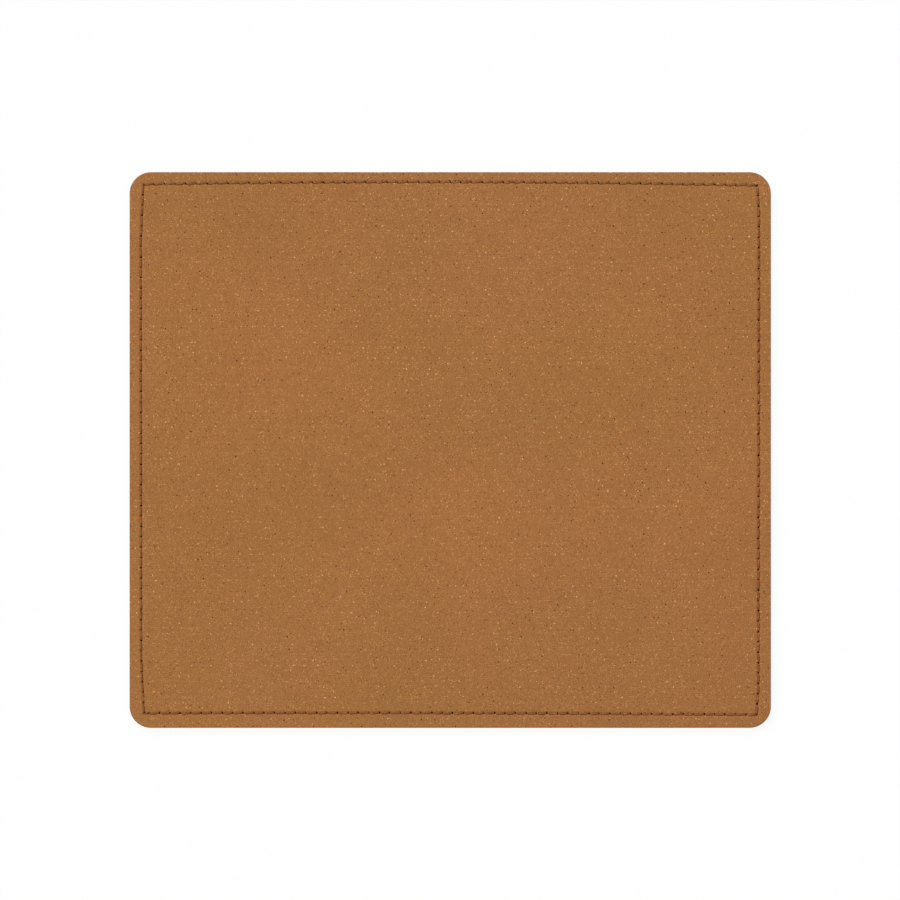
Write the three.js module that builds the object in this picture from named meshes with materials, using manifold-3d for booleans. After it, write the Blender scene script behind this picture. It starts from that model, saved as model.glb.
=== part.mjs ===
// Mouse pad: a sheet of bonded leather glued to a non-slip rubber base, then sewn to it all round the border.
// Millimetres. +X runs to the right along the longer side, +Y points away from the user and +Z up.
// The origin is the middle of the underside, the face that rests on the desk.

import * as THREE from "three";
import { mergeVertices } from "three/addons/utils/BufferGeometryUtils.js";
import Module from "manifold-3d";

// Outline and plies
const PAD_WIDTH = 230;
const PAD_DEPTH = 199.3;
const CORNER_RADIUS = 7.7;
const EDGE_ROUND = 0.3;
const LEATHER_THICKNESS = 1.4;
const BASE_THICKNESS = 1.6;

// Adhesive film, which stops short of the seam so that it never gums the needle
const ADHESIVE_THICKNESS = 0.15;
const ADHESIVE_SETBACK = 2;
const ADHESIVE_CLEARANCE = 0.3;

// Seam line: the inset of each run at its two ends, and how far it bows outwards in between
const LEFT_INSET_FRONT = 5.2;
const LEFT_INSET_BACK = 5;
const BACK_INSET_LEFT = 4.4;
const BACK_INSET_RIGHT = 4.8;
const RIGHT_INSET_BACK = 4.9;
const RIGHT_INSET_FRONT = 5.15;
const FRONT_INSET_RIGHT = 4.75;
const FRONT_INSET_LEFT = 5.3;
const LEFT_BOW = 0.95;
const BACK_BOW = 1;
const RIGHT_BOW = 0.6;
const FRONT_BOW = -0.35;
const LEFT_LEAD = 20; // from a corner to where a straight run has its full bow
const RIGHT_LEAD = 10;
const HAND_WANDER = 0.05; // how far a hole strays from the line of a seam guided by hand
const WANDER_STEP = 2.4; // radians from one hole to the next, so that no stretch repeats

// Stitches: their length on each run, and the short one that closes the seam at the front left corner
const SIDE_STITCH = 3.715;
const BACK_STITCH = 3.79;
const FRONT_STITCH = 3.76;
const CLOSING_STITCH = 1.75;
const SLIT_SLANT = Math.PI / 6; // turn of each slit from square across the seam, as a leather needle cuts it

// Threads, and the space round them in the plies
const NEEDLE_DIAMETER = 0.5;
const BOBBIN_DIAMETER = 0.3;
const THREAD_CLEARANCE = 0.04;
const GROOVE_DEPTH = 0.3;
const GROOVE_MARGIN = 0.08;
const GROOVE_FLARE = 0.25;

// Fineness of the facets
const THREAD_SIDES = 3;
const CORNER_STEPS = 4;
const EDGE_STEPS = 1;
const BOW_STEPS = 6;
const OVERCUT = 1;

// Heights that follow from the plies
const PLY_PLANE = BASE_THICKNESS;
const TOP = BASE_THICKNESS + LEATHER_THICKNESS;

// The needle thread goes down the outer side of each hole, under the bobbin thread and up the inner side
const NEEDLE_RADIUS = NEEDLE_DIAMETER / 2;
const BOBBIN_RADIUS = BOBBIN_DIAMETER / 2;
const HOLE_REACH = NEEDLE_RADIUS + THREAD_CLEARANCE;
const LOOP_REACH = HOLE_REACH + BOBBIN_RADIUS + HAND_WANDER;
const SLIT_REACH = LOOP_REACH + HOLE_REACH * (Math.cos(SLIT_SLANT) + Math.sin(SLIT_SLANT));
const GROOVE_WIDTH = 2 * (SLIT_REACH + HAND_WANDER + GROOVE_MARGIN);
const RUN_HEIGHT = TOP - GROOVE_DEPTH + HOLE_REACH;
const LOOP_HEIGHT = HOLE_REACH;
const BOBBIN_HEIGHT = LOOP_HEIGHT + HOLE_REACH + BOBBIN_RADIUS;
const CHANNEL_DEPTH = BOBBIN_HEIGHT + BOBBIN_RADIUS + THREAD_CLEARANCE;

const wasm = await Module();
wasm.setup();

// A closed geometry as a solid that can be cut
function solid(geometry) {
  geometry.deleteAttribute("normal");
  geometry.deleteAttribute("uv");
  const merged = mergeVertices(geometry);
  const mesh = new wasm.Mesh({
    numProp: 3,
    vertProperties: merged.attributes.position.array,
    triVerts: new Uint32Array(merged.index.array),
  });
  return new wasm.Manifold(mesh);
}

// A cut solid as a geometry again, with flat faces
function facets(body) {
  const mesh = body.getMesh();
  const shared = new THREE.BufferGeometry();
  shared.setAttribute("position", new THREE.BufferAttribute(mesh.vertProperties, 3));
  shared.setIndex(new THREE.BufferAttribute(mesh.triVerts, 1));
  const geometry = shared.toNonIndexed();
  geometry.computeVertexNormals();
  return geometry;
}

// The direction to the left of a heading, which is outwards all round a seam sewn clockwise
function leftOf(heading) {
  return new THREE.Vector2(-heading.y, heading.x).normalize();
}

// A bow that swells evenly from corner to corner: its share of the full swell, and where its facets begin
function roundBow() {
  const stops = [];
  for (let i = 0; i < BOW_STEPS; i++) {
    stops.push(i / BOW_STEPS);
  }
  return { share: (t) => 4 * t * (1 - t), stops };
}

// A bow that is straight but for a lead-in at each end of a run between two corners
function straightBow(from, to, leadIn) {
  const lead = leadIn / from.distanceTo(to);
  return { share: (t) => Math.min(1, t / lead, (1 - t) / lead), stops: [0, lead, 1 - lead] };
}

// The four runs of the seam line moved outwards by shift, sewn clockwise from the front left corner
function seamRuns(shift) {
  const x = PAD_WIDTH / 2 + shift;
  const y = PAD_DEPTH / 2 + shift;
  const frontLeft = new THREE.Vector2(LEFT_INSET_FRONT - x, FRONT_INSET_LEFT - y);
  const backLeft = new THREE.Vector2(LEFT_INSET_BACK - x, y - BACK_INSET_LEFT);
  const backRight = new THREE.Vector2(x - RIGHT_INSET_BACK, y - BACK_INSET_RIGHT);
  const frontRight = new THREE.Vector2(x - RIGHT_INSET_FRONT, FRONT_INSET_RIGHT - y);
  const leftBow = straightBow(frontLeft, backLeft, LEFT_LEAD);
  const rightBow = straightBow(backRight, frontRight, RIGHT_LEAD);
  return [
    { from: frontLeft, to: backLeft, bow: leftBow, swell: LEFT_BOW, stitch: SIDE_STITCH },
    { from: backLeft, to: backRight, bow: roundBow(), swell: BACK_BOW, stitch: BACK_STITCH },
    { from: backRight, to: frontRight, bow: rightBow, swell: RIGHT_BOW, stitch: SIDE_STITCH },
    { from: frontRight, to: frontLeft, bow: roundBow(), swell: FRONT_BOW, stitch: FRONT_STITCH },
  ];
}

// The point at share t of a run: on its chord, moved outwards by the bow and by a stray
function seamPoint(run, t, stray = 0) {
  const chord = run.to.clone().sub(run.from);
  const outwards = run.swell * run.bow.share(t) + stray;
  return run.from.clone().addScaledVector(chord, t).addScaledVector(leftOf(chord), outwards);
}

// The seam line moved outwards by shift, as a closed ring
function seamRing(shift) {
  return seamRuns(shift).flatMap((run) => run.bow.stops.map((t) => seamPoint(run, t)));
}

// Each needle hole's centre, with the vector from there to the thread's outer leg, which lies along the slit
function needleHoles() {
  const centres = [];
  const addHole = (run, t) => {
    const stray = HAND_WANDER * Math.sin(WANDER_STEP * centres.length);
    centres.push(seamPoint(run, t, stray));
  };
  const runs = seamRuns(0);
  const closingRun = runs.at(-1);
  for (const run of runs) {
    const length = run.from.distanceTo(run.to);
    const sewn = run === closingRun ? length - CLOSING_STITCH : length;
    const stitches = Math.round(sewn / run.stitch);
    for (let i = 0; i < stitches; i++) {
      addHole(run, ((i / stitches) * sewn) / length);
    }
    if (run === closingRun) {
      addHole(run, sewn / length);
    }
  }
  return centres.map((centre, i) => {
    const arriving = centre.clone().sub(centres.at(i - 1)).normalize();
    const leaving = centres[(i + 1) % centres.length].clone().sub(centre).normalize();
    const straightness = Math.max(0, arriving.dot(leaving));
    const leg = leftOf(arriving.clone().add(leaving));
    leg.rotateAround(new THREE.Vector2(), SLIT_SLANT * straightness);
    leg.multiplyScalar(LOOP_REACH / leg.dot(leftOf(arriving)));
    return { centre, leg };
  });
}

// A thread's line, which keeps every one of its bends as a step
class ThreadPath extends THREE.Curve {
  constructor(points) {
    super();
    this.points = points;
  }

  getSpacedPoints() {
    return this.points;
  }

  getTangentAt(share) {
    const last = this.points.length - 1;
    const i = Math.round(share * last);
    const here = this.points[i];
    const arriving = here.clone().sub(this.points[Math.max(i - 1, 0)]).normalize();
    const leaving = this.points[Math.min(i + 1, last)].clone().sub(here).normalize();
    return arriving.add(leaving).normalize();
  }
}

// A thread of the given radius along its bends, closed at both ends
function thread(points, radius) {
  const corners = [];
  for (let i = 0; i < THREAD_SIDES; i++) {
    const angle = (2 * Math.PI * i) / THREAD_SIDES;
    corners.push(new THREE.Vector2(radius * Math.cos(angle), radius * Math.sin(angle)));
  }
  const section = new THREE.Shape(corners);
  const extrudePath = new ThreadPath(points);
  return new THREE.ExtrudeGeometry(section, { steps: points.length - 1, extrudePath });
}

// The needle thread: a stitch on the leather from hole to hole, and a loop in each hole that holds the bobbin
// thread. Both its ends stay in the first hole.
function needleThread(holes) {
  const points = [];
  for (let i = 0; i <= holes.length; i++) {
    const { centre, leg } = holes[i % holes.length];
    const outer = centre.clone().add(leg);
    const inner = centre.clone().sub(leg);
    if (i > 0) {
      points.push(new THREE.Vector3(outer.x, outer.y, RUN_HEIGHT));
      points.push(new THREE.Vector3(outer.x, outer.y, LOOP_HEIGHT));
    }
    if (i < holes.length) {
      points.push(new THREE.Vector3(inner.x, inner.y, LOOP_HEIGHT));
      points.push(new THREE.Vector3(inner.x, inner.y, RUN_HEIGHT));
    }
  }
  return thread(points, NEEDLE_RADIUS);
}

// The bobbin thread: straight through the needle thread's loops, from the first hole round to the last
function bobbinThread(holes) {
  const ends = [holes[0].centre, ...seamRing(0).slice(1), holes.at(-1).centre];
  const points = ends.map((point) => new THREE.Vector3(point.x, point.y, BOBBIN_HEIGHT));
  return thread(points, BOBBIN_RADIUS);
}

// The needle holes as slits across the seam, right through both plies
function slits(holes) {
  const shapes = holes.map(({ centre, leg }) => {
    const reach = leg.clone().setLength(leg.length() + HOLE_REACH);
    const side = leftOf(leg).multiplyScalar(HOLE_REACH);
    const corners = [
      centre.clone().add(reach).add(side),
      centre.clone().sub(reach).add(side),
      centre.clone().sub(reach).sub(side),
      centre.clone().add(reach).sub(side),
    ];
    return new THREE.Shape(corners);
  });
  const geometry = new THREE.ExtrudeGeometry(shapes, { depth: TOP + 2 * OVERCUT, bevelEnabled: false });
  return solid(geometry.translate(0, 0, -OVERCUT));
}

// A flared trench along the seam: cutDepth deep below z = 0, and again above z = OVERCUT
function trench(cutDepth) {
  const shape = new THREE.Shape(seamRing(GROOVE_WIDTH / 2));
  shape.holes.push(new THREE.Path(seamRing(-GROOVE_WIDTH / 2).reverse()));
  return new THREE.ExtrudeGeometry(shape, {
    depth: OVERCUT,
    bevelThickness: cutDepth,
    bevelSize: GROOVE_FLARE,
    bevelSegments: 1,
  });
}

// The inside of the seam as a flat panel that reaches up to the plane between the plies
function innerPanel(setback, thickness) {
  const shape = new THREE.Shape(seamRing(-setback));
  const panel = new THREE.ExtrudeGeometry(shape, { depth: thickness, bevelEnabled: false });
  return panel.translate(0, 0, PLY_PLANE - thickness);
}

// The whole pad as cut out, with round corners and its outer edges eased
function padBlank() {
  const x = PAD_WIDTH / 2 - CORNER_RADIUS;
  const y = PAD_DEPTH / 2 - CORNER_RADIUS;
  const outline = new THREE.Shape();
  outline.absarc(x, y, CORNER_RADIUS, 0, Math.PI / 2);
  outline.absarc(-x, y, CORNER_RADIUS, Math.PI / 2, Math.PI);
  outline.absarc(-x, -y, CORNER_RADIUS, Math.PI, 1.5 * Math.PI);
  outline.absarc(x, -y, CORNER_RADIUS, 1.5 * Math.PI, 2 * Math.PI);
  const geometry = new THREE.ExtrudeGeometry(outline, {
    depth: TOP - 2 * EDGE_ROUND,
    bevelThickness: EDGE_ROUND,
    bevelSize: EDGE_ROUND,
    bevelOffset: -EDGE_ROUND,
    bevelSegments: EDGE_STEPS,
    curveSegments: CORNER_STEPS,
  });
  return solid(geometry.translate(0, 0, EDGE_ROUND));
}

// A block that holds everything from one height to another
function layer(from, to) {
  const block = new THREE.BoxGeometry(2 * PAD_WIDTH, 2 * PAD_DEPTH, to - from);
  return solid(block.translate(0, 0, (from + to) / 2));
}

// The leather sheet, with the groove that the seam has pressed into it
function leatherTop(blank, holes) {
  const groove = solid(trench(GROOVE_DEPTH).translate(0, 0, TOP));
  const sheet = blank.intersect(layer(PLY_PLANE, TOP + OVERCUT));
  return facets(sheet.subtract(groove).subtract(slits(holes)));
}

// The rubber sheet, with a channel for the thread underneath and a shallow bed for the adhesive
function baseSheet(blank, holes) {
  const channel = solid(trench(CHANNEL_DEPTH).translate(0, 0, -OVERCUT));
  const bed = solid(innerPanel(ADHESIVE_SETBACK, ADHESIVE_THICKNESS));
  const sheet = blank.intersect(layer(-OVERCUT, PLY_PLANE));
  return facets(sheet.subtract(channel).subtract(bed).subtract(slits(holes)));
}

const leather = new THREE.MeshStandardMaterial({ color: 0xa26e41, roughness: 0.75, metalness: 0 });
const rubber = new THREE.MeshStandardMaterial({ color: 0x262422, roughness: 0.9, metalness: 0 });
const adhesive = new THREE.MeshStandardMaterial({ color: 0xc8ad72, roughness: 0.4, metalness: 0 });
const yarn = new THREE.MeshStandardMaterial({ color: 0x8a4f2e, roughness: 0.6, metalness: 0 });

const pad = new THREE.Group();

function addPiece(name, geometry, material) {
  const mesh = new THREE.Mesh(geometry, material);
  mesh.name = name;
  pad.add(mesh);
}

const blank = padBlank();
const holes = needleHoles();
addPiece("leather_top", leatherTop(blank, holes), leather);
addPiece("adhesive_film", innerPanel(ADHESIVE_SETBACK + ADHESIVE_CLEARANCE, ADHESIVE_THICKNESS), adhesive);
addPiece("base_sheet", baseSheet(blank, holes), rubber);
addPiece("needle_thread", needleThread(holes), yarn);
addPiece("bobbin_thread", bobbinThread(holes), yarn);

export default pad;
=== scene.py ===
import math
from collections import namedtuple

import bpy
import numpy as np
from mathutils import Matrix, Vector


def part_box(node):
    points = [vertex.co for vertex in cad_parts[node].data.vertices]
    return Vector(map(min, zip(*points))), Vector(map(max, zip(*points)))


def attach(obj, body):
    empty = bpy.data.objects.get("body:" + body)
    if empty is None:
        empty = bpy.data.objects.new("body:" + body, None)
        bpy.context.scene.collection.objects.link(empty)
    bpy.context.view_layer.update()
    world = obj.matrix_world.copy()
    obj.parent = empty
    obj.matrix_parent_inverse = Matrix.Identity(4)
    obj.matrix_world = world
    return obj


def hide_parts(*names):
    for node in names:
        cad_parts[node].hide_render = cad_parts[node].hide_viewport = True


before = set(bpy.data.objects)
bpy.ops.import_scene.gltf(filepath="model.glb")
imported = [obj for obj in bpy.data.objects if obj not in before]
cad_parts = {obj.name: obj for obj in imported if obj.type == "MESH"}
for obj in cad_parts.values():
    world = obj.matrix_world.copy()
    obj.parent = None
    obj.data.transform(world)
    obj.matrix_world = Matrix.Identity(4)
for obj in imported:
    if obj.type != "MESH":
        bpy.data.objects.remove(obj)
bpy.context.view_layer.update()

# Mouse pad of bonded leather on a rubber base, sewn round its border. Metres, in the frame of the solids.

MM = 0.001
BODY = "root"

# Plies, read from the frame, and the bed of the adhesive
leather_low, leather_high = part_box("leather_top")
film_low, film_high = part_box("adhesive_film")
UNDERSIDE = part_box("base_sheet")[0].z
PLY_PLANE = leather_low.z
TOP = leather_high.z
PAD_WIDTH = leather_high.x - leather_low.x
PAD_DEPTH = leather_high.y - leather_low.y
BED_DEPTH = film_high.z - film_low.z
BED_SETBACK = 2 * MM

# Outline, and the rounded outer edge of each ply
CORNER_RADIUS = 7.7 * MM
EDGE_ROUND = 0.3 * MM
EDGE_FLAT = 0.15 * MM
EDGE_ARC_STEPS = 4
PLY_EASE = 0.06 * MM
SHARP_ANGLE = math.radians(40)

# Seam line: the inset of each run at its two ends, how far it bows outwards in between, the lead-in
# of a straight bow, and how the hand strays from hole to hole
LEFT_INSET_FRONT = 5.2 * MM
LEFT_INSET_BACK = 5 * MM
BACK_INSET_LEFT = 4.4 * MM
BACK_INSET_RIGHT = 4.8 * MM
RIGHT_INSET_BACK = 4.9 * MM
RIGHT_INSET_FRONT = 5.15 * MM
FRONT_INSET_RIGHT = 4.75 * MM
FRONT_INSET_LEFT = 5.3 * MM
LEFT_BOW = 0.95 * MM
BACK_BOW = 1 * MM
RIGHT_BOW = 0.6 * MM
FRONT_BOW = -0.35 * MM
LEFT_LEAD = 20 * MM
RIGHT_LEAD = 10 * MM
HAND_WANDER = 0.05 * MM
WANDER_STEP = 2.4

# Stitch lengths, and how they vary from hole to hole
SIDE_STITCH = 3.715 * MM
BACK_STITCH = 3.79 * MM
FRONT_STITCH = 3.76 * MM
CLOSING_STITCH = 1.75 * MM
STITCH_WANDER = 0.1 * MM
STITCH_WANDER_STEP = 4.1

# How the stitches of a run lie: how far outside the seam line they leave one hole and enter the next,
# how far they rise above the leather, how far the thread spreads, and the slant and opening of the slits
Lay = namedtuple("Lay", "leave enter rise spread slant opening")
LEFT_LAY = Lay(leave=0.015 * MM, enter=0.05 * MM, rise=0.01 * MM, spread=1.0, slant=0.0, opening=1.04)
BACK_LAY = Lay(leave=-0.24 * MM, enter=0.15 * MM, rise=0.06 * MM, spread=0.8, slant=0.45, opening=0.9)
RIGHT_LAY = Lay(leave=0.0, enter=0.06 * MM, rise=0.01 * MM, spread=1.4, slant=0.0, opening=1.15)
FRONT_LAY = Lay(leave=0.05 * MM, enter=0.2 * MM, rise=0.01 * MM, spread=1.32, slant=0.2, opening=1.0)

# How far the ends of a stitch stand from a hole's middle on top, and the legs of its loop underneath
DIVE_GAP = 0.35 * MM
LOOP_REACH = 0.36 * MM

# Some holes are drawn wider open than others, and some stitches lie broader
OPENING_VARIES = 0.3
OPENING_STEP = 2.9
SPREAD_VARIES = 0.15
SPREAD_STEP = 2.1

# Slits: half their width, their reach to each side of the seam, and the bluntness of their ends
SLIT_HALF = 0.23 * MM
SLIT_END = 0.38 * MM
SLIT_BLUNT = 0.6

# Throat of a slit, where the plies meet and close round the two legs of the thread
THROAT_SPREAD = 1.5
THROAT_SLOT = 0.012 * MM
THROAT_LEG = 0.17 * MM

# The strip of each ply that the seam shapes, and its rows and columns of points. Columns stand at the
# lip steps from a slit, and close up again by a share towards the strip's edges.
STRIP = 1.25 * MM
SLIT_ROWS = 4
OUTER_ROWS = 4
LIP_STEPS = np.array((0, 0.06, 0.15, 0.32)) * MM
FAR_FROM_LIP = 4 * LIP_STEPS[-1]
COLUMNS_CLOSE = 0.7
MID_COLUMNS = 6
FIELD_SETBACK = 3.2 * MM

# Pressed seam on top, and the channel underneath
VALLEY_DEPTH = 0.15 * MM
VALLEY_POWER = 4
PULL_SHARE = 0.3
LIP_DEPTH = 0.1 * MM
LIP_REACH = 0.09 * MM
PRESS_REACH = 0.32 * MM
CHANNEL_DEPTH = 0.84 * MM
CHANNEL_FLOOR = 0.8 * MM

# Thread sizes, and the heights of the parts of a stitch. A higher power keeps more of a stitch level.
NEEDLE_RADIUS = 0.27 * MM
NEEDLE_FLAT = 0.7
BOBBIN_RADIUS = 0.18 * MM
LEG_SHARE = 0.74
TAPER_POWER = 6
RUN_DIP = 0.06 * MM
RUN_POWER = 4
BEND_RADIUS = 0.21 * MM
LOOP_LOW = 0.26 * MM
LOOP_RISE = 0.38 * MM
BOBBIN_HEIGHT = 0.65 * MM
BOBBIN_LIFT = 0.05 * MM

# Twisted plies, each an arc of angles in degrees and shares of the radius, and the twist at each point
PLIES = 3
PLY_SECTION = ((-28, 0.96), (0, 1.0), (28, 0.96), (60, 0.74))
TWIST_STEP = math.radians(32)

# Points along the parts of a thread
BEND_STEPS = 3
RUN_STEPS = 13
LOOP_STEPS = 7
LEG_STEPS = 2
BOBBIN_STEPS = 10

# A direction that no thread starts along, and a turn too small to follow
START_UP = (0.0, 0.3, 1.0)
NO_TURN = 1e-12


# Seam

def unit(vectors):
    return vectors / np.linalg.norm(vectors, axis=-1, keepdims=True)


def left_of(headings):
    """The direction to the left of each heading, which is outwards on a seam sewn clockwise."""
    return unit(np.stack((-headings[..., 1], headings[..., 0]), axis=-1))


def dot(a, b):
    return (a * b).sum(axis=-1, keepdims=True)


def round_bow(share):
    """A bow like a shallow arch, 1 in the middle."""
    return 4 * share * (1 - share)


def straight_bow(start, end, lead_in):
    """A bow that is straight but for a lead-in at each end."""
    lead = lead_in / np.linalg.norm(end - start)
    return lambda share: min(1, share / lead, (1 - share) / lead)


Run = namedtuple("Run", "start end bow swell stitch lay")


def seam_runs():
    """The four runs of the seam, clockwise from the front left corner."""
    x, y = PAD_WIDTH / 2, PAD_DEPTH / 2
    front_left = np.array((LEFT_INSET_FRONT - x, FRONT_INSET_LEFT - y))
    back_left = np.array((LEFT_INSET_BACK - x, y - BACK_INSET_LEFT))
    back_right = np.array((x - RIGHT_INSET_BACK, y - BACK_INSET_RIGHT))
    front_right = np.array((x - RIGHT_INSET_FRONT, FRONT_INSET_RIGHT - y))
    left_bow = straight_bow(front_left, back_left, LEFT_LEAD)
    right_bow = straight_bow(back_right, front_right, RIGHT_LEAD)
    return [
        Run(front_left, back_left, left_bow, LEFT_BOW, SIDE_STITCH, LEFT_LAY),
        Run(back_left, back_right, round_bow, BACK_BOW, BACK_STITCH, BACK_LAY),
        Run(back_right, front_right, right_bow, RIGHT_BOW, SIDE_STITCH, RIGHT_LAY),
        Run(front_right, front_left, round_bow, FRONT_BOW, FRONT_STITCH, FRONT_LAY),
    ]


class Holes:
    """The needle holes in sewing order, each with its centre and the directions that matter there.

    leaving and arriving point along the stitches after and before a hole. square and slit point outwards,
    straight and along the slit, and one length of either leads one unit away from the stitches.
    departure and arrival are where the thread bends out of the hole and into it.
    """

    def __init__(self):
        centres, runs, shares, lays = [], [], [], []
        sides = seam_runs()
        for number, run in enumerate(sides):
            chord = run.end - run.start
            length = np.linalg.norm(chord)
            closing = run is sides[-1]
            sewn = length - CLOSING_STITCH if closing else length
            count = round(sewn / run.stitch)
            for i in range(count + closing):
                made = len(centres)
                late = STITCH_WANDER * math.sin(STITCH_WANDER_STEP * made) if 0 < i < count else 0
                share = (i / count * sewn + late) / length
                stray = HAND_WANDER * math.sin(WANDER_STEP * made)
                outside = run.swell * run.bow(share) + stray
                centres.append(run.start + chord * share + left_of(chord) * outside)
                runs.append(number)
                shares.append(share)
                lays.append(run.lay)
        self.count = len(centres)
        self.centre = np.array(centres)
        self.run = np.array(runs)
        self.share = np.array(shares)
        leave, enter, self.rise, spread, slant, opening = np.array(lays).T[:, :, None]
        order = np.arange(self.count)[:, None]
        self.spread = spread * (1 + SPREAD_VARIES * np.sin(SPREAD_STEP * order))
        self.opening = opening * (1 + OPENING_VARIES * np.sin(OPENING_STEP * order))
        self.next_share = np.where(np.roll(self.run, -1) == self.run, np.roll(self.share, -1), 1)
        step = np.roll(self.centre, -1, axis=0) - self.centre
        self.stitch = np.linalg.norm(step, axis=1)
        self.leaving = unit(step)
        self.arriving = np.roll(self.leaving, 1, axis=0)
        straightness = np.maximum(0, dot(self.arriving, self.leaving))
        outward = left_of(self.arriving + self.leaving)
        turn = slant * straightness
        sideways = np.stack((-outward[:, 1], outward[:, 0]), axis=-1)
        slanted = outward * np.cos(turn) + sideways * np.sin(turn)
        self.square = outward / dot(outward, left_of(self.arriving))
        self.slit = slanted / dot(slanted, left_of(self.arriving))
        self.leg = self.slit * LOOP_REACH
        self.stretch = 1 / np.abs(dot(self.leaving, left_of(slanted)))
        gap = DIVE_GAP * self.opening
        self.departure = self.centre + self.square * leave + self.leaving * gap
        self.arrival = self.centre + self.square * np.roll(enter, 1, axis=0) - self.arriving * gap


holes = Holes()
COLUMNS = 2 * len(LIP_STEPS) + MID_COLUMNS
RING = holes.count * COLUMNS

# The holes without the last one, which only the short closing stitch needs, and the hole after each
sewn = np.arange(holes.count - 1)
after_sewn = np.append(sewn[1:], holes.count)


def row_offsets():
    """Offsets of the strip's rows from the seam line, from the inner edge to the outer one."""
    half = np.concatenate((
        np.linspace(0, SLIT_END, SLIT_ROWS + 1),
        np.linspace(SLIT_END, STRIP, OUTER_ROWS + 1)[1:],
    ))
    return np.concatenate((-half[:0:-1], half))


rows = row_offsets()
ROWS = len(rows)
FIRST_SLIT_ROW = OUTER_ROWS
LAST_SLIT_ROW = OUTER_ROWS + 2 * SLIT_ROWS
SLIT = slice(FIRST_SLIT_ROW, LAST_SLIT_ROW + 1)


def strip_points():
    """The strip's points by hole, column and row. Columns lean with the slits and part round each one."""
    past = np.clip((abs(rows) - SLIT_END) / (STRIP - SLIT_END), 0, 1)
    lean = np.clip(rows, -SLIT_END, SLIT_END) * (1 - past)
    lens = np.sqrt(1 - (1 - SLIT_BLUNT**2) * np.clip(rows / SLIT_END, -1, 1) ** 2)
    narrowing = 1 - COLUMNS_CLOSE * past
    half = SLIT_HALF * lens * narrowing * holes.opening[:, :, None]
    lips = LIP_STEPS[:, None] * narrowing
    middle = holes.centre[:, None] + holes.square[:, None] * rows[:, None]
    middle = middle + (holes.slit - holes.square)[:, None] * lean[:, None]
    # A short stitch leaves its columns less room
    room = np.minimum(1, holes.stitch / SIDE_STITCH)[:, None, None] ** 2
    after = (half + lips * room) * holes.stretch[:, :, None]
    before = (half + lips * np.roll(room, 1, axis=0)) * holes.stretch[:, :, None]
    right = middle[:, None] + holes.leaving[:, None, None] * after[..., None]
    left = middle[:, None] - holes.arriving[:, None, None] * before[..., None]
    left = np.roll(left, -1, axis=0)[:, ::-1]
    share = np.linspace(0, 1, MID_COLUMNS + 2)[1:-1, None, None]
    mid = right[:, -1:] * (1 - share) + left[:, :1] * share
    return np.concatenate((right, mid, left), axis=1)


strip = strip_points()


def along_stitch():
    """How far along its stitch each column is, from 0 to 1."""
    middle_row = strip[:, :, ROWS // 2] - holes.centre[:, None]
    return (middle_row * holes.leaving[:, None]).sum(axis=-1) / holes.stitch[:, None]


def lip_distance():
    """Each column's distance from the nearer slit."""
    far = np.full(MID_COLUMNS, FAR_FROM_LIP)
    return np.concatenate((LIP_STEPS, far, LIP_STEPS[::-1]))


def run_height(share, rise):
    """Height of the needle thread's middle along a stitch, from one bend to the other."""
    return TOP + rise - (rise + RUN_DIP) * (2 * share - 1) ** RUN_POWER


def leather_heights():
    """Heights of the strip on top: a valley, drawn down at the holes and pressed in by the stitches."""
    pull = 1 - PULL_SHARE * (1 - np.cos(2 * math.pi * along_stitch())) / 2
    valley = VALLEY_DEPTH * pull[:, :, None] * (1 - (rows / STRIP) ** 2) ** VALLEY_POWER
    start = holes.departure
    end = np.roll(holes.arrival, -1, axis=0)
    line = (end - start)[:, None, None]
    share = np.clip(dot(strip - start[:, None, None], line) / dot(line, line), 0, 1)
    away = np.linalg.norm(strip - start[:, None, None] - line * share, axis=-1)
    rest = run_height(share[..., 0], holes.rise[:, :, None]) - NEEDLE_RADIUS
    press = np.maximum(0, TOP - valley - rest) * np.exp(-(away / PRESS_REACH) ** 2)
    in_slit = np.clip((STRIP - abs(rows)) / (STRIP - SLIT_END), 0, 1) ** 2
    lip = LIP_DEPTH * np.exp(-lip_distance()[:, None] / LIP_REACH) * in_slit
    return TOP - valley - press - lip


def base_heights():
    """Heights of the strip underneath: a round-shouldered channel that keeps the threads off the desk."""
    slope = np.clip((STRIP - abs(rows)) / (STRIP - CHANNEL_FLOOR), 0, 1)
    channel = CHANNEL_DEPTH * slope**2 * (3 - 2 * slope)
    return UNDERSIDE + np.broadcast_to(channel, strip.shape[:3])


# Outline

def outline_frame():
    """Points on the outline and the outward directions there, for every second column of the strip."""
    share = holes.share[:, None] + along_stitch() * (holes.next_share - holes.share)[:, None]
    x, y = PAD_WIDTH / 2 - CORNER_RADIUS, PAD_DEPTH / 2 - CORNER_RADIUS
    corners = np.array(((-x, -y), (-x, y), (x, y), (x, -y)))
    half_arc = math.pi / 4 * CORNER_RADIUS
    points, normals = [], []
    for i in range(holes.count):
        run = holes.run[i]
        start, end = corners[run], corners[(run + 1) % len(corners)]
        straight = np.linalg.norm(end - start)
        distance = np.clip(share[i], 0, 1) * (straight + 2 * half_arc)
        along = np.clip(distance - half_arc, 0, straight)
        turned = np.maximum(half_arc - distance, 0) - np.maximum(distance - half_arc - straight, 0)
        angle = math.pi - run * math.pi / 2 + turned / CORNER_RADIUS
        normal = np.stack((np.cos(angle), np.sin(angle)), axis=-1)
        points.append(start + (end - start) * (along / straight)[:, None] + CORNER_RADIUS * normal)
        normals.append(normal)
    return np.concatenate(points)[::2], np.concatenate(normals)[::2]


# Plies

# Materials of a ply, by place in its list
SURFACE, CUT, HOLE = range(3)


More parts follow.
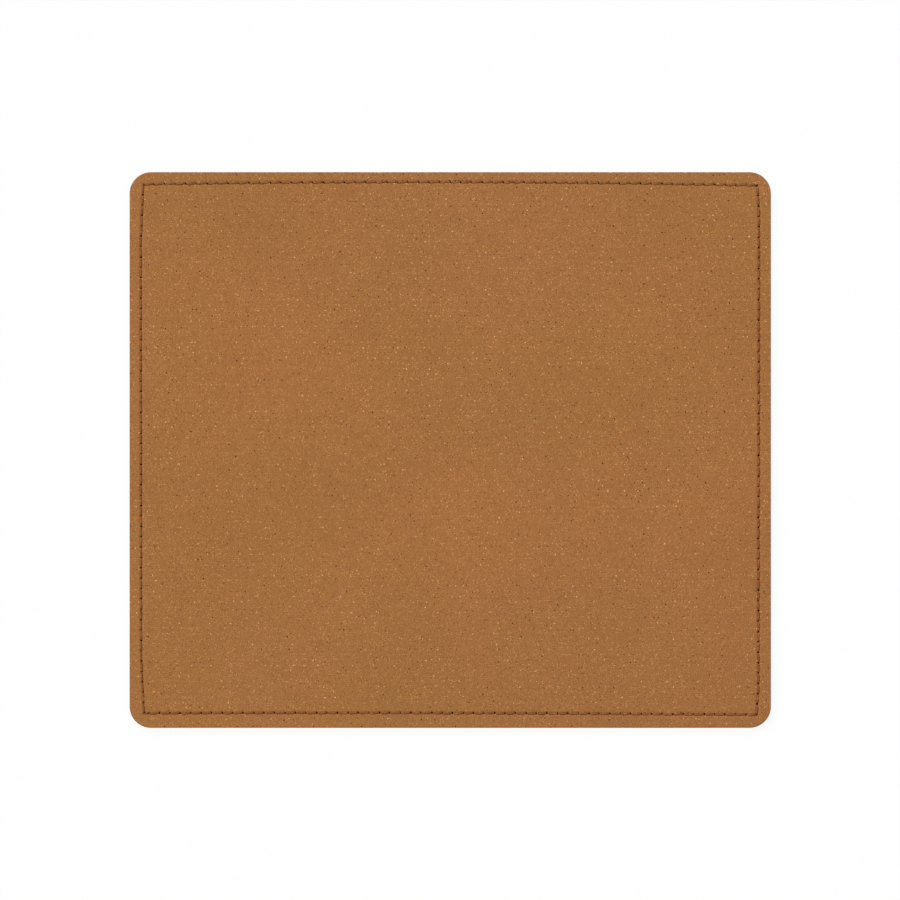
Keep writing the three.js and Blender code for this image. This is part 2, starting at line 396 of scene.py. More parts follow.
def new_piece(name, points, faces, materials):
    """A smooth mesh in the scene."""
    mesh = bpy.data.meshes.new(name)
    mesh.from_pydata(points.tolist(), [], faces)
    mesh.update()
    mesh.shade_smooth()
    for material in materials:
        mesh.materials.append(material)
    piece = bpy.data.objects.new(name, mesh)
    bpy.context.collection.objects.link(piece)
    return piece


class MeshDraft:
    """Points and faces gathered for one mesh."""

    def __init__(self):
        self.points = []
        self.faces = []
        self.kinds = []
        self.size = 0

    def add(self, plane_points, heights):
        """Adds points at the given heights and returns the index of each."""
        flat = np.asarray(plane_points).reshape(-1, 2)
        level = np.broadcast_to(heights, plane_points.shape[:-1]).reshape(-1, 1)
        self.points.append(np.concatenate((flat, level), axis=1))
        first = self.size
        self.size += len(flat)
        return np.arange(first, self.size).reshape(plane_points.shape[:-1])

    def face(self, corners, kind=SURFACE):
        self.faces.append([int(c) for c in corners])
        self.kinds.append(kind)

    def quads(self, a, b, c, d, kind=SURFACE):
        """Faces from four equal arrays of corners."""
        made = np.stack((a, b, c, d), axis=-1).reshape(-1, 4).tolist()
        self.faces += made
        self.kinds += [kind] * len(made)

    def build(self, name, materials, flip):
        faces = [face[::-1] for face in self.faces] if flip else self.faces
        piece = new_piece(name, np.concatenate(self.points), faces, materials)
        piece.data.polygons.foreach_set("material_index", self.kinds)
        piece.data.update()
        return piece


def add_strip(draft, heights):
    """The seam strip of a ply's visible side, open at the slits. Returns the index of each point."""
    index = draft.add(strip, heights).reshape(RING, ROWS)
    following = np.roll(index, -1, axis=0)
    solid = np.ones((RING, ROWS - 1), bool)
    solid[COLUMNS - 1 :: COLUMNS, FIRST_SLIT_ROW:LAST_SLIT_ROW] = False
    corners = (index[:, :-1], following[:, :-1], following[:, 1:], index[:, 1:])
    draft.quads(*(corner[solid] for corner in corners))
    return index


def add_edge(draft, outer_row, profile):
    """The margin outside the strip and the pad's outer edge. Returns the last ring of the profile."""
    points, normals = outline_frame()
    rings = [draft.add(points - normals * inset, height) for inset, height in profile]
    first = outer_row[::2]
    middle = outer_row[1::2]
    last = np.roll(first, -1)
    ring = rings[0]
    for corners in zip(first, middle, last, np.roll(ring, -1), ring):
        draft.face(corners)
    for number, (ring, outer) in enumerate(zip(rings, rings[1:])):
        kind = SURFACE if number < EDGE_ARC_STEPS else CUT
        draft.quads(ring, np.roll(ring, -1), np.roll(outer, -1), outer, kind)
    return rings[-1]


def field_points():
    """A net of points inside the seam, spanned between its four runs."""
    ring = (holes.centre - holes.square * FIELD_SETBACK)[sewn]
    run = holes.run[sewn]
    closed = np.concatenate((ring, ring[:1]))
    starts = [int(np.argmax(run == number)) for number in np.unique(run)] + [len(ring)]
    left, back, right, front = (closed[a : b + 1] for a, b in zip(starts, starts[1:]))
    right, front = right[::-1], front[::-1]
    u = np.linspace(0, 1, len(back))[:, None, None]
    v = np.linspace(0, 1, len(left))[None, :, None]
    across = left[None] * (1 - u) + right[None] * u
    along = front[:, None] * (1 - v) + back[:, None] * v
    base = (left[0] * (1 - v) + left[-1] * v) * (1 - u) + (right[0] * (1 - v) + right[-1] * v) * u
    return across + along - base


def add_field(draft, inner_row, height):
    """The flat field inside the seam, and the faces that join it to the strip."""
    net = draft.add(field_points(), height)
    draft.quads(net[:-1, :-1], net[1:, :-1], net[1:, 1:], net[:-1, 1:])
    rim = np.concatenate((net[0], net[1:, -1], net[-1, -2::-1], net[-2:0:-1, 0]))
    for hole, following, here, there in zip(sewn, after_sewn, rim, np.roll(rim, -1)):
        columns = np.arange(hole * COLUMNS, following * COLUMNS + 1) % RING
        draft.face([here, there, *inner_row[columns[::-1]]])


def throat_rims():
    """The slits where the plies meet, shut but for the two legs.

    Returns the points of the left and the right rims, by hole and row.
    """
    across = rows[SLIT] * THROAT_SPREAD
    from_leg = (abs(across) - LOOP_REACH) / THROAT_LEG
    half = np.maximum(THROAT_SLOT, THROAT_LEG * np.sqrt(np.maximum(0, 1 - from_leg**2)))
    middle = holes.centre[:, None] + holes.slit[:, None] * across[:, None]
    left = middle - holes.arriving[:, None] * half[:, None]
    right = middle + holes.leaving[:, None] * half[:, None]
    return left, right


def add_slits(draft, index, height):
    """The walls of the slits, down to the hidden side.

    Returns the index of each point on the hidden rims, left and right, by hole and row.
    """
    rights = np.arange(holes.count) * COLUMNS
    left, right = index[rights - 1, SLIT], index[rights, SLIT]
    left_rim, right_rim = (draft.add(points, height) for points in throat_rims())
    draft.quads(right_rim[:, 1:], right_rim[:, :-1], right[:, :-1], right[:, 1:], HOLE)
    draft.quads(left_rim[:, :-1], left_rim[:, 1:], left[:, 1:], left[:, :-1], HOLE)
    draft.quads(left_rim[:, -1], right_rim[:, -1], right[:, -1], left[:, -1], HOLE)
    draft.quads(right_rim[:, 0], left_rim[:, 0], left[:, 0], right[:, 0], HOLE)
    return left_rim, right_rim


def add_hidden(draft, edge, left_rim, right_rim, height, bed_floor=None):
    """The side that is glued to the other ply, flat but for the bed of the adhesive in the base."""
    inner = draft.add(strip.reshape(RING, ROWS, 2)[::COLUMNS, 0], height)
    per_stitch = COLUMNS // 2
    for i in range(holes.count):
        j = (i + 1) % holes.count
        outside = edge[np.arange(i * per_stitch, (i + 1) * per_stitch + 1) % len(edge)]
        arriving = [right_rim[j, -1], *left_rim[j, ::-1], right_rim[j, 0], inner[j]]
        draft.face([*outside, *arriving, inner[i], *right_rim[i]], CUT)
    if bed_floor is None:
        draft.face(inner, CUT)
        return
    bed_rim = (holes.centre - holes.square * BED_SETBACK)[sewn]
    rim, floor = draft.add(bed_rim, height), draft.add(bed_rim, bed_floor)
    next_rim, next_floor = np.roll(rim, -1), np.roll(floor, -1)
    for hole, following, here, there in zip(sewn, after_sewn, rim, next_rim):
        above = inner[np.arange(hole, following + 1) % holes.count]
        draft.face([*above, there, here], CUT)
    draft.quads(rim, next_rim, next_floor, floor, CUT)
    draft.face(floor, CUT)


def edge_profile(face, hidden):
    """Inset and height of the rings from the visible face round to the hidden one."""
    side = 1 if face > hidden else -1
    profile = [(EDGE_ROUND + EDGE_FLAT, face)]
    for i in range(EDGE_ARC_STEPS + 1):
        angle = math.pi / 2 * i / EDGE_ARC_STEPS
        sunk = EDGE_ROUND * (1 - math.cos(angle))
        profile.append((EDGE_ROUND * (1 - math.sin(angle)), face - side * sunk))
    profile.append((0, (face - side * EDGE_ROUND + hidden) / 2))
    profile.append((0, hidden + side * PLY_EASE))
    profile.append((PLY_EASE, hidden))
    return profile


def make_ply(name, heights, face, materials, bed_floor=None):
    """One ply, from its visible face at the given height to the plane where the plies meet."""
    draft = MeshDraft()
    index = add_strip(draft, heights)
    add_field(draft, index[:, 0], face)
    edge = add_edge(draft, index[:, -1], edge_profile(face, PLY_PLANE))
    rims = add_slits(draft, index, PLY_PLANE)
    add_hidden(draft, edge, *rims, PLY_PLANE, bed_floor)
    piece = draft.build(name, materials, flip=face < PLY_PLANE)
    piece.data.set_sharp_from_angle(angle=SHARP_ANGLE)
    return piece


# Threads

def twisted_section():
    """Outline of a thread of three plies, as angles and shares of its radius."""
    angles = [ply * 360 / PLIES + angle for ply in range(PLIES) for angle, _ in PLY_SECTION]
    shares = [share for _ in range(PLIES) for _, share in PLY_SECTION]
    return np.radians(angles), np.array(shares)


def frames_along(path):
    """Tangents and two directions across them, carried along the path without extra turns."""
    ahead = np.concatenate((path[1:], path[-1:]))
    behind = np.concatenate((path[:1], path[:-1]))
    tangents = unit(ahead - behind)
    side = unit(np.cross(tangents[0], START_UP))
    sides = [side]
    for here, there, before, after in zip(path, path[1:], tangents, tangents[1:]):
        gap = there - here
        mirrored = side - gap * (2 * gap.dot(side) / gap.dot(gap))
        turned = before - gap * (2 * gap.dot(before) / gap.dot(gap))
        turn = after - turned
        size = turn.dot(turn)
        side = mirrored - turn * (2 * turn.dot(mirrored) / size) if size > NO_TURN else mirrored
        sides.append(side)
    sides = np.array(sides)
    return tangents, sides, np.cross(tangents, sides)


def make_thread(name, path, radius, material, flat=1.0):
    """A twisted thread along a path, with its radius at each point.

    flat is the share of its height that the section keeps where the thread lies level.
    """
    angles, shares = twisted_section()
    tangents, sides, ups = frames_along(path)
    turns = angles[None] + TWIST_STEP * np.arange(len(path))[:, None]
    across = np.cos(turns)[..., None] * sides[:, None] + np.sin(turns)[..., None] * ups[:, None]
    across = across * (radius[:, None] * shares)[..., None]
    level = 1 - np.abs(tangents[:, 2])[:, None]
    across[..., 2] *= 1 - (1 - flat) * level
    points = path[:, None] + across
    count, around = points.shape[:2]
    index = np.arange(count * around).reshape(count, around)
    following = np.roll(index, -1, axis=1)
    quads = np.stack((index[:-1], following[:-1], following[1:], index[1:]), axis=-1).reshape(-1, 4)
    faces = quads.tolist() + [index[0, ::-1].tolist(), index[-1].tolist()]
    piece = new_piece(name, points.reshape(-1, 3), faces, [material])
    length = np.concatenate(([0], np.cumsum(np.linalg.norm(np.diff(path, axis=0), axis=1))))
    for label, values in (("along", np.repeat(length, around)), ("round", np.tile(angles, count))):
        piece.data.attributes.new(label, "FLOAT", "POINT").data.foreach_set("value", values)
    return piece


def bend(corner, heading, into):
    """A quarter turn at the top of a leg, from the leg to the stitch or back again."""
    points = []
    for i in range(BEND_STEPS):
        angle = math.pi / 2 * (i + 1) / (BEND_STEPS + 1)
        out, up = 1 - math.cos(angle), math.sin(angle)
        points.append(corner + np.array((*(heading * out), up)) * BEND_RADIUS)
    return points[::-1] if into else points


def leg_points(foot, top, shoulder):
    """Straight up from the loop to the throat, then leaning over to the top of the hole."""
    points = [(*foot, LOOP_LOW + LOOP_RISE)]
    for share in np.linspace(0, 1, LEG_STEPS + 1):
        points.append((*(foot * (1 - share) + top * share), PLY_PLANE + (shoulder - PLY_PLANE) * share))
    return points


def needle_path():
    """Up each hole, along the leather to the next, down it and under the bobbin thread.

    Returns the points and the radius at each.
    """
    path, radii = [], []
    shoulder = TOP - RUN_DIP - BEND_RADIUS
    run_shares = np.linspace(0, 1, RUN_STEPS)
    run_radii = NEEDLE_RADIUS * (1 - (1 - LEG_SHARE) * (2 * run_shares - 1) ** TAPER_POWER)
    narrow = [NEEDLE_RADIUS * LEG_SHARE]
    for i in range(holes.count):
        j = (i + 1) % holes.count
        start, end = holes.departure[i], holes.arrival[j]
        heading = unit(end - start)
        run_start, run_end = start + heading * BEND_RADIUS, end - heading * BEND_RADIUS
        path += leg_points(holes.centre[i] - holes.leg[i], start, shoulder)
        path += bend(np.array((*start, shoulder)), heading, False)
        radii += narrow * (len(path) - len(radii))
        for share in run_shares:
            place = run_start * (1 - share) + run_end * share
            path.append((*place, run_height(share, holes.rise[i, 0])))
        radii += (run_radii * holes.spread[i, 0]).tolist()
        path += bend(np.array((*end, shoulder)), -heading, True)
        path += leg_points(holes.centre[j] + holes.leg[j], end, shoulder)[::-1]
        for k in range(1, LOOP_STEPS if j else 0):
            angle = math.pi * k / LOOP_STEPS
            place = holes.centre[j] + holes.leg[j] * math.cos(angle)
            path.append((*place, LOOP_LOW + LOOP_RISE * (1 - math.sin(angle))))
        radii += narrow * (len(path) - len(radii))
    return np.array(path), np.array(radii)


def bobbin_path():
    """From hole to hole under the pad, drawn up a little by each loop.

    Returns the points and the radius at each.
    """
    path = []
    for here, there in zip(holes.centre, holes.centre[1:]):
        for k in range(BOBBIN_STEPS):
            share = k / BOBBIN_STEPS
            height = BOBBIN_HEIGHT - BOBBIN_LIFT * (1 - math.cos(2 * math.pi * share)) / 2
            path.append((*(here * (1 - share) + there * share), height))
    path.append((*holes.centre[-1], BOBBIN_HEIGHT))
    return np.array(path), np.full(len(path), BOBBIN_RADIUS)


# Materials, with sizes in millimetres

# Colour sockets of Blender's mix node
MIX_FIRST, MIX_SECOND, MIX_RESULT = 6, 7, 2

# Most values of a noise lie in this range
NOISE_MIDDLE = (0.3, 0.7)

# The noise that warps a place
WARP_DETAIL = 4.0
WARP_ROUGHNESS = 0.65

# Flecks vary between these shares of their size, and fade out between these shares of their reach
FLECK_SIZES = (0.55, 1.25)
FLECK_RIM = (0.75, 1.05)


class Shader:
    """A procedural material, built node by node from numbers, colours and outputs of other nodes."""

    def __init__(self, name):
        self.material = bpy.data.materials.new(name)
        self.material.use_nodes = True
        self.tree = self.material.node_tree
        self.surface = self.tree.nodes["Principled BSDF"]

    def set(self, socket, value):
        if isinstance(value, bpy.types.NodeSocket):
            self.tree.links.new(value, socket)
        else:
            socket.default_value = value

    def node(self, kind, inputs, **settings):
        """A new node, with its inputs by name or place."""
        node = self.tree.nodes.new(kind)
        for name, value in settings.items():
            setattr(node, name, value)
        for name, value in inputs.items():
            self.set(node.inputs[name], value)
        return node

    def place(self):
        """Position on the object in millimetres."""
        coordinates = self.node("ShaderNodeTexCoord", {}).outputs["Object"]
        return self.vector("MULTIPLY", coordinates, (1 / MM,) * 3)

    def vector(self, operation, a, b):
        node = self.node("ShaderNodeVectorMath", {0: a, 1: b}, operation=operation)
        return node.outputs["Value" if operation == "DOT_PRODUCT" else "Vector"]

    def math(self, operation, a, b=0.0):
        return self.node("ShaderNodeMath", {0: a, 1: b}, operation=operation).outputs[0]

    def remap(self, value, low, high, to_low=0.0, to_high=1.0, smooth=False):
        inputs = {
            "Value": value, "From Min": low, "From Max": high, "To Min": to_low, "To Max": to_high,
        }
        kind = "SMOOTHSTEP" if smooth else "LINEAR"
        return self.node("ShaderNodeMapRange", inputs, interpolation_type=kind).outputs["Result"]

    def noise(self, place, size, detail=2.0, roughness=0.5):
        """Cloudy noise from 0 to 1 with features about size millimetres wide."""
        inputs = {"Vector": place, "Scale": 1 / size, "Detail": detail, "Roughness": roughness}
        return self.node("ShaderNodeTexNoise", inputs).outputs["Fac"]

    def mix(self, share, a, b, kind="MIX"):
        first, second = ((*colour, 1) if isinstance(colour, tuple) else colour for colour in (a, b))
        inputs = {"Factor": share, MIX_FIRST: first, MIX_SECOND: second}
        return self.node("ShaderNodeMix", inputs, data_type="RGBA", blend_type=kind).outputs[MIX_RESULT]

    def warped(self, place, size, reach):
        """The place moved about at random, which breaks up straight and round shapes."""
        inputs = {"Vector": place, "Scale": 1 / size, "Detail": WARP_DETAIL, "Roughness": WARP_ROUGHNESS}
        stray = self.node("ShaderNodeTexNoise", inputs).outputs["Color"]
        centred = self.vector("SUBTRACT", stray, (0.5,) * 3)
        return self.vector("ADD", place, self.vector("MULTIPLY", centred, (2 * reach, 2 * reach, 0)))

    def flecks(self, place, cell, share, length, width):
        """Scattered flecks, one in some cells, each turned, sized and faded at random.

        The result is 0 outside the flecks and up to 1 inside them.
        """
        spread = self.node(
            "ShaderNodeTexVoronoi", {"Vector": place, "Scale": 1 / cell}, voronoi_dimensions="2D"
        )
        random = self.node("ShaderNodeSeparateColor", {"Color": spread.outputs["Color"]})
        turn, chance, size = (random.outputs[name] for name in ("Red", "Green", "Blue"))
        offset = self.vector("SUBTRACT", place, spread.outputs["Position"])
        angle = self.math("MULTIPLY", turn, math.pi)
        turned = self.node(
            "ShaderNodeVectorRotate", {"Vector": offset, "Angle": angle}, rotation_type="Z_AXIS"
        ).outputs["Vector"]
        shape = self.vector("MULTIPLY", turned, (2 / length, 2 / width, 0))
        reach = self.node("ShaderNodeVectorMath", {0: shape}, operation="LENGTH").outputs["Value"]
        scaled = self.math("DIVIDE", reach, self.remap(size, 0, 1, *FLECK_SIZES))
        inside = self.remap(scaled, *FLECK_RIM, 1, 0, smooth=True)
        return self.math("MULTIPLY", inside, self.remap(chance, 0, share, 1, 0))

    def finish(self, colour, roughness, height, relief, shine):
        """Sets the surface. relief is the height in millimetres that a height of 1 stands for."""
        self.set(self.surface.inputs["Base Color"], colour)
        self.set(self.surface.inputs["Roughness"], roughness)
        self.surface.inputs["Specular IOR Level"].default_value = shine
        bump = self.node("ShaderNodeBump", {"Height": height, "Distance": relief * MM, "Strength": 1.0})
        self.set(self.surface.inputs["Normal"], bump.outputs["Normal"])
        return self.material


LEATHER_OLIVE = (0.316, 0.147, 0.042)
LEATHER_RUSSET = (0.38, 0.146, 0.048)
LEATHER_OCHRE = (0.357, 0.15, 0.04)
LEATHER_ROSE = (0.355, 0.145, 0.051)
FLECK_PALE = (0.8, 0.42, 0.19)
FLECK_YELLOW = (0.74, 0.365, 0.11)
FLECK_DARK = (0.06, 0.016, 0.001)
FLECK_ORANGE = (0.55, 0.13, 0.03)

# Flecks in the leather: colour, cell size, share of the cells that hold one, length, width, strength
FLECK_LAYERS = (
    (FLECK_DARK, 0.5, 0.5, 0.28, 0.22, 0.55),
    (FLECK_YELLOW, 0.5, 0.5, 0.3, 0.22, 0.42),
    (FLECK_YELLOW, 0.8, 0.45, 0.42, 0.24, 0.8),
    (FLECK_PALE, 1.9, 0.5, 1.7, 0.15, 0.4),
    (FLECK_PALE, 1.9, 0.4, 0.62, 0.29, 1.05),
    (FLECK_ORANGE, 5, 0.3, 0.7, 0.4, 0.5),
    (FLECK_DARK, 0.95, 0.25, 0.36, 0.28, 1.05),
    (FLECK_DARK, 2.3, 0.3, 0.5, 0.4, 1.3),
)
FLECK_SHIFT = (31, 17, 0)

# Flecks gather: places a few cells wide, and never narrower than the least, hold fewer or more of them
CLUMP_CELLS = 3.5
CLUMP_LEAST = 2
CLUMP_RANGE = (0.35, 0.65)
CLUMP_FEWER = 0.35
CLUMP_MORE = 1.65

# The hue drifts between four tints, and the tone varies with the grain and in broad clouds
RED_RANGE = (0.24, 0.76)
YELLOW_RANGE = (0.27, 0.73)
YELLOW_SHIFT = (0, 0, 40)
GRAIN_RANGE = (0.25, 0.75)
GRAIN_TONES = (0.46, 1.54)
CLOUD_TONES = (0.97, 1.03)

# Painted shade: the colour is darkened towards the front right corner, over this distance, for the
# fall-off of the key light from the back left
PAINTED_FALLOFF_RANGE = (20, 200)
PAINTED_FALLOFF_FRONT_RIGHT = 0.945

LEATHER_ROUGHNESS = (0.68, 0.84)
PORE_DEPTH = 0.6


def leather_material():
    """Bonded leather: ground fibres in a tan binder, with pale and dark flecks and faint clouds."""
    s = Shader("bonded_leather")
    place = s.place()
    red = s.remap(s.noise(place, size=75, detail=4), *RED_RANGE)
    reds = s.mix(red, LEATHER_OLIVE, LEATHER_RUSSET)
    yellow = s.remap(s.noise(s.vector("ADD", place, YELLOW_SHIFT), size=90, detail=4), *YELLOW_RANGE)
    yellows = s.mix(yellow, LEATHER_OCHRE, LEATHER_ROSE)
    colour = s.mix(0.5, reds, yellows)
    grain = s.remap(s.noise(place, size=0.19, roughness=0.75), *GRAIN_RANGE, *GRAIN_TONES)
    cloud = s.remap(s.noise(place, size=60, detail=4, roughness=0.6), *NOISE_MIDDLE, *CLOUD_TONES)
    # Painted shade: the leather's colour darkens towards the front right corner, away from the key light
    painted_falloff = s.remap(s.vector("DOT_PRODUCT", place, (1, -1, 0)), *PAINTED_FALLOFF_RANGE, 1, PAINTED_FALLOFF_FRONT_RIGHT)
    tone_and_painted_falloff = s.math("MULTIPLY", s.math("MULTIPLY", grain, cloud), painted_falloff)
    place = s.warped(place, size=0.5, reach=0.3)
    for tint, cell, share, length, width, strength in FLECK_LAYERS:
        place = s.vector("ADD", place, FLECK_SHIFT)
        clumps = s.noise(place, size=CLUMP_CELLS * cell + CLUMP_LEAST)
        filled = s.remap(clumps, *CLUMP_RANGE, CLUMP_FEWER * share, CLUMP_MORE * share)
        flecks = s.flecks(place, cell, filled, length, width)
        colour = s.mix(s.math("MULTIPLY", flecks, strength), colour, tint)
    grey = s.node("ShaderNodeCombineColor", {"Red": tone_and_painted_falloff, "Green": tone_and_painted_falloff, "Blue": tone_and_painted_falloff}).outputs["Color"]
    colour = s.mix(1.0, colour, grey, "MULTIPLY")
    # The last flecks, which are the largest dark ones, are pores
    pores = s.math("MULTIPLY", flecks, PORE_DEPTH)
    height = s.math("SUBTRACT", s.noise(place, size=0.36, detail=4, roughness=0.6), pores)
    roughness = s.remap(s.noise(place, size=1.2), *NOISE_MIDDLE, *LEATHER_ROUGHNESS)
    return s.finish(colour, roughness, height, relief=0.028, shine=0.12)


# The cut edge of the leather: its colours, how flat its fibres are packed, and the crumbs between them
CUT_TAN = (0.36, 0.155, 0.05)
CUT_DEEP = (0.21, 0.088, 0.028)
CUT_ROUGHNESS = (0.95, 0.8)
CUT_PACKING = (1, 1, 2.5)
CRUMB_CELL = 0.6
CRUMB_RIM = (0.25, 0.45)
CRUMB_CHANCE = (0.7, 1)
CRUMB_STRENGTH = 0.6


def leather_cut_material():
    """The cut edge of bonded leather: packed fibres, nearly flat, with crumbs of pale and dark hide."""
    s = Shader("leather_cut_edge")
    place = s.warped(s.place(), size=0.4, reach=0.25)
    packed = s.vector("MULTIPLY", place, CUT_PACKING)
    fibres = s.noise(packed, size=0.5, detail=4, roughness=0.7)
    colour = s.mix(s.remap(fibres, *NOISE_MIDDLE), CUT_DEEP, CUT_TAN)
    crumbs = s.node("ShaderNodeTexVoronoi", {"Vector": packed, "Scale": 1 / CRUMB_CELL})
    chance = s.node("ShaderNodeSeparateColor", {"Color": crumbs.outputs["Color"]})
    middle = s.remap(crumbs.outputs["Distance"], *CRUMB_RIM, 1, 0, smooth=True)
    for tint, channel in ((FLECK_PALE, "Red"), (FLECK_DARK, "Green")):
        chosen = s.math("MULTIPLY", s.remap(chance.outputs[channel], *CRUMB_CHANCE), middle)
        colour = s.mix(s.math("MULTIPLY", chosen, CRUMB_STRENGTH), colour, tint)
    roughness = s.remap(fibres, *NOISE_MIDDLE, *CUT_ROUGHNESS)
    return s.finish(colour, roughness, fibres, relief=0.06, shine=0.15)


# Painted shade: the walls of the needle holes are coloured near black for the shade deep inside the holes
HOLE_SHADE_DARK = (0.03, 0.011, 0.004)
HOLE_SHADE_BROWN = (0.09, 0.034, 0.01)


def hole_material():
    """The wall of a needle hole: compressed fibres, coloured near black as painted shade for the depth of
    the hole.
    """
    s = Shader("needle_hole")
    fibres = s.noise(s.place(), size=0.3, detail=3, roughness=0.6)
    colour = s.mix(s.remap(fibres, *NOISE_MIDDLE), HOLE_SHADE_DARK, HOLE_SHADE_BROWN)
    return s.finish(colour, roughness=1.0, height=fibres, relief=0.05, shine=0.0)


RUBBER_DARK = (0.014, 0.013, 0.012)
RUBBER_PALE = (0.032, 0.03, 0.028)
RUBBER_ROUGHNESS = (0.72, 0.9)
SKIN_RANGE = (0.3, 0.75)
SKIN_HEIGHT = 0.25
BLOOM_RANGE = (0.4, 0.8)
BLOOM_MOST = 0.35

# Ridges of the waffle, which run both ways across the base, in radians to the millimetre
WAFFLE_RATE = 2.4
WAFFLE_HEIGHT = 0.9


def rubber_material():
    """Black foam rubber with a fine waffle pressed into it."""
    s = Shader("base_rubber")
    place = s.place()
    axes = s.node("ShaderNodeSeparateXYZ", {"Vector": place})
    waves = []
    for operation in ("ADD", "SUBTRACT"):
        slant = s.math(operation, axes.outputs["X"], axes.outputs["Y"])
        waves.append(s.math("ABSOLUTE", s.math("SINE", s.math("MULTIPLY", slant, WAFFLE_RATE))))
    waffle = s.math("MULTIPLY", s.math("MINIMUM", *waves), WAFFLE_HEIGHT)
    skin = s.noise(place, size=0.35, detail=3, roughness=0.6)
    colour = s.mix(s.remap(skin, *SKIN_RANGE), RUBBER_DARK, RUBBER_PALE)
    bloom = s.remap(s.noise(place, size=14, detail=3), *BLOOM_RANGE, 0, BLOOM_MOST)
    colour = s.mix(bloom, colour, RUBBER_PALE)
    height = s.math("ADD", waffle, s.math("MULTIPLY", skin, SKIN_HEIGHT))
    roughness = s.remap(skin, *NOISE_MIDDLE, *RUBBER_ROUGHNESS)
    return s.finish(colour, roughness, height, relief=0.14, shine=0.35)


FOAM_CELL = 0.28
FOAM_RANGE = (0.1, 0.6)


def rubber_cut_material():
    """The cut edge of foam rubber, with its open cells."""
    s = Shader("rubber_cut_edge")
    foam = s.node("ShaderNodeTexVoronoi", {"Vector": s.place(), "Scale": 1 / FOAM_CELL})
    cells = foam.outputs["Distance"]
    colour = s.mix(s.remap(cells, *FOAM_RANGE), RUBBER_DARK, RUBBER_PALE)
    return s.finish(colour, roughness=0.92, height=cells, relief=0.07, shine=0.25)


THREAD_RED = (0.335, 0.108, 0.03)
THREAD_DEEP = (0.185, 0.052, 0.013)
THREAD_PALE = (0.47, 0.18, 0.06)
THREAD_ROUGHNESS = (0.85, 0.68)
PALE_RANGE = (0.5, 0.7)
PALE_MOST = 0.6

# How fast the fibres change along the thread, to the millimetre, and round it, to the radian
FIBRE_ALONG = 0.7
FIBRE_AROUND = 2.2


def thread_material():
    """Reddish-brown spun thread, with fibres that follow its plies."""
    s = Shader("sewing_thread")
    along = s.node("ShaderNodeAttribute", {}, attribute_name="along").outputs["Fac"]
    around = s.node("ShaderNodeAttribute", {}, attribute_name="round").outputs["Fac"]
    spun = s.node("ShaderNodeCombineXYZ", {
        "X": s.math("MULTIPLY", along, FIBRE_ALONG / MM),
        "Y": s.math("MULTIPLY", around, FIBRE_AROUND),
    }).outputs["Vector"]
    fibres = s.noise(spun, size=0.5, detail=4, roughness=0.65)
    colour = s.mix(s.remap(fibres, *NOISE_MIDDLE), THREAD_DEEP, THREAD_RED)
    worn = s.remap(s.noise(s.place(), size=1.8), *PALE_RANGE, 0, PALE_MOST)
    colour = s.mix(worn, colour, THREAD_PALE)
    roughness = s.remap(fibres, *NOISE_MIDDLE, *THREAD_ROUGHNESS)
    return s.finish(colour, roughness, fibres, relief=0.03, shine=0.15)


ADHESIVE_PALE = (0.6, 0.44, 0.18)
ADHESIVE_DEEP = (0.42, 0.27, 0.09)
ADHESIVE_ROUGHNESS = (0.5, 0.3)
BRUSH_STRETCH = (0.15, 1, 1)


def adhesive_material():
    """Dried contact adhesive with brush marks."""
    s = Shader("contact_adhesive")
    brushed = s.vector("MULTIPLY", s.place(), BRUSH_STRETCH)
    strokes = s.noise(brushed, size=2.5, detail=4, roughness=0.6)
    colour = s.mix(s.remap(strokes, *NOISE_MIDDLE), ADHESIVE_DEEP, ADHESIVE_PALE)
    roughness = s.remap(strokes, *NOISE_MIDDLE, *ADHESIVE_ROUGHNESS)
    return s.finish(colour, roughness, strokes, relief=0.05, shine=0.4)


# Pieces

leather = make_ply(
    "leather_sheet", leather_heights(), TOP,
    [leather_material(), leather_cut_material(), hole_material()],
)
rubber_finish = rubber_cut_material()
rubber = make_ply(
    "rubber_sheet", base_heights(), UNDERSIDE, [rubber_material(), rubber_finish, rubber_finish],
    PLY_PLANE - BED_DEPTH,
)
thread = thread_material()
needle_stitches = make_thread("needle_stitches", *needle_path(), thread, NEEDLE_FLAT)
bobbin_stitches = make_thread("bobbin_stitches", *bobbin_path(), thread)

for piece, node, slot in (
    (leather, "leather_top", "bonded_leather"),
    (rubber, "base_sheet", "base_rubber"),
    (needle_stitches, "needle_thread", "thread"),
    (bobbin_stitches, "bobbin_thread", "thread"),
):
    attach(piece, BODY)
    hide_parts(node)

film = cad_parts["adhesive_film"]
adhesive = adhesive_material()
for film_slot in film.material_slots:
    film_slot.material = adhesive


# Stage: the floor, the light from all round, and the key light with its spread and direction

FLOOR_SIZE = 6.0
FLOOR_DROP = 0.02 * MM
FLOOR_WHITE = (0.95, 0.95, 0.95)
FLOOR_GLOW = 0.93
WORLD_LIGHT = 0.5
KEY_LIGHT = 2.26
KEY_SPREAD = math.radians(22)
KEY_TILT = math.radians(46)
KEY_AZIMUTH = math.radians(40)


def seen_directly(tree):
    """1 for rays from the camera, a reflection or through glass, and 0 for rays that light the scene."""
    path = tree.nodes.new("ShaderNodeLightPath")
    total = path.outputs["Is Camera Ray"]
    for name in ("Is Glossy Ray", "Is Transmission Ray"):
        most = tree.nodes.new("ShaderNodeMath")
        most.operation = "MAXIMUM"
        tree.links.new(total, most.inputs[0])
        tree.links.new(path.outputs[name], most.inputs[1])
        total = most.outputs[0]
    return total


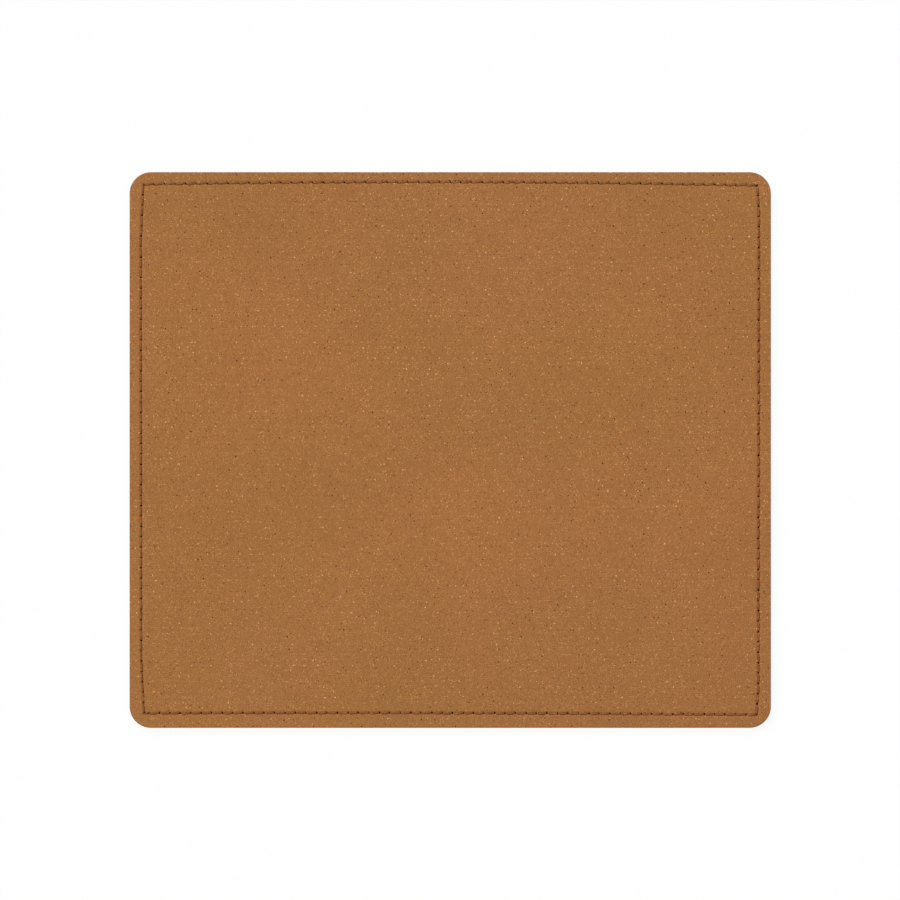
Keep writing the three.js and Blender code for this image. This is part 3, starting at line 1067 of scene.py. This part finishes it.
def make_floor():
    """A pale floor that keeps the pad's shadow."""
    bpy.ops.mesh.primitive_plane_add(size=FLOOR_SIZE, location=(0, 0, UNDERSIDE - FLOOR_DROP))
    floor = bpy.context.object
    floor.name = "floor"
    material = bpy.data.materials.new("floor_white")
    material.use_nodes = True
    tree = material.node_tree
    tree.nodes.clear()
    paint = tree.nodes.new("ShaderNodeBsdfDiffuse")
    paint.inputs["Color"].default_value = (*FLOOR_WHITE, 1)
    glow = tree.nodes.new("ShaderNodeEmission")
    share = tree.nodes.new("ShaderNodeMath")
    share.operation = "MULTIPLY"
    share.inputs[1].default_value = FLOOR_GLOW
    tree.links.new(seen_directly(tree), share.inputs[0])
    both = tree.nodes.new("ShaderNodeMixShader")
    tree.links.new(share.outputs[0], both.inputs[0])
    tree.links.new(paint.outputs[0], both.inputs[1])
    tree.links.new(glow.outputs[0], both.inputs[2])
    output = tree.nodes.new("ShaderNodeOutputMaterial")
    tree.links.new(both.outputs[0], output.inputs["Surface"])
    floor.data.materials.append(material)


def make_light():
    """Soft light from all round and a key light from the back left."""
    world = bpy.data.worlds.new("studio")
    world.use_nodes = True
    bpy.context.scene.world = world
    tree = world.node_tree
    background = tree.nodes["Background"]
    background.inputs["Color"].default_value = (1, 1, 1, 1)
    strength = tree.nodes.new("ShaderNodeMapRange")
    tree.links.new(seen_directly(tree), strength.inputs["Value"])
    strength.inputs["To Min"].default_value = WORLD_LIGHT
    strength.inputs["To Max"].default_value = 1
    tree.links.new(strength.outputs["Result"], background.inputs["Strength"])
    key = bpy.data.objects.new("key_light", bpy.data.lights.new("key_light", "SUN"))
    key.data.energy = KEY_LIGHT
    key.data.angle = KEY_SPREAD
    key.rotation_euler = (KEY_TILT, 0, math.pi + KEY_AZIMUTH)
    bpy.context.collection.objects.link(key)


# The photograph's frame in pixels: its width, the pad's width, and how far right of its middle the pad is
FRAME_PIXELS = 900
PAD_PIXELS = 641.46
PAD_OFFSET_PIXELS = 0.264

# Camera, in millimetres
LENS = 200
SENSOR = 36


def make_camera():
    """A camera straight above, which frames the pad as the photograph does."""
    pixel = PAD_WIDTH / PAD_PIXELS
    camera = bpy.data.objects.new("camera", bpy.data.cameras.new("camera"))
    camera.data.lens = LENS
    camera.data.sensor_width = SENSOR
    distance = FRAME_PIXELS * pixel * LENS / SENSOR
    camera.location = (-PAD_OFFSET_PIXELS * pixel, 0, TOP + distance)
    bpy.context.collection.objects.link(camera)
    bpy.context.scene.camera = camera


make_floor()
make_light()
make_camera()
bpy.context.scene.view_settings.view_transform = "Standard"
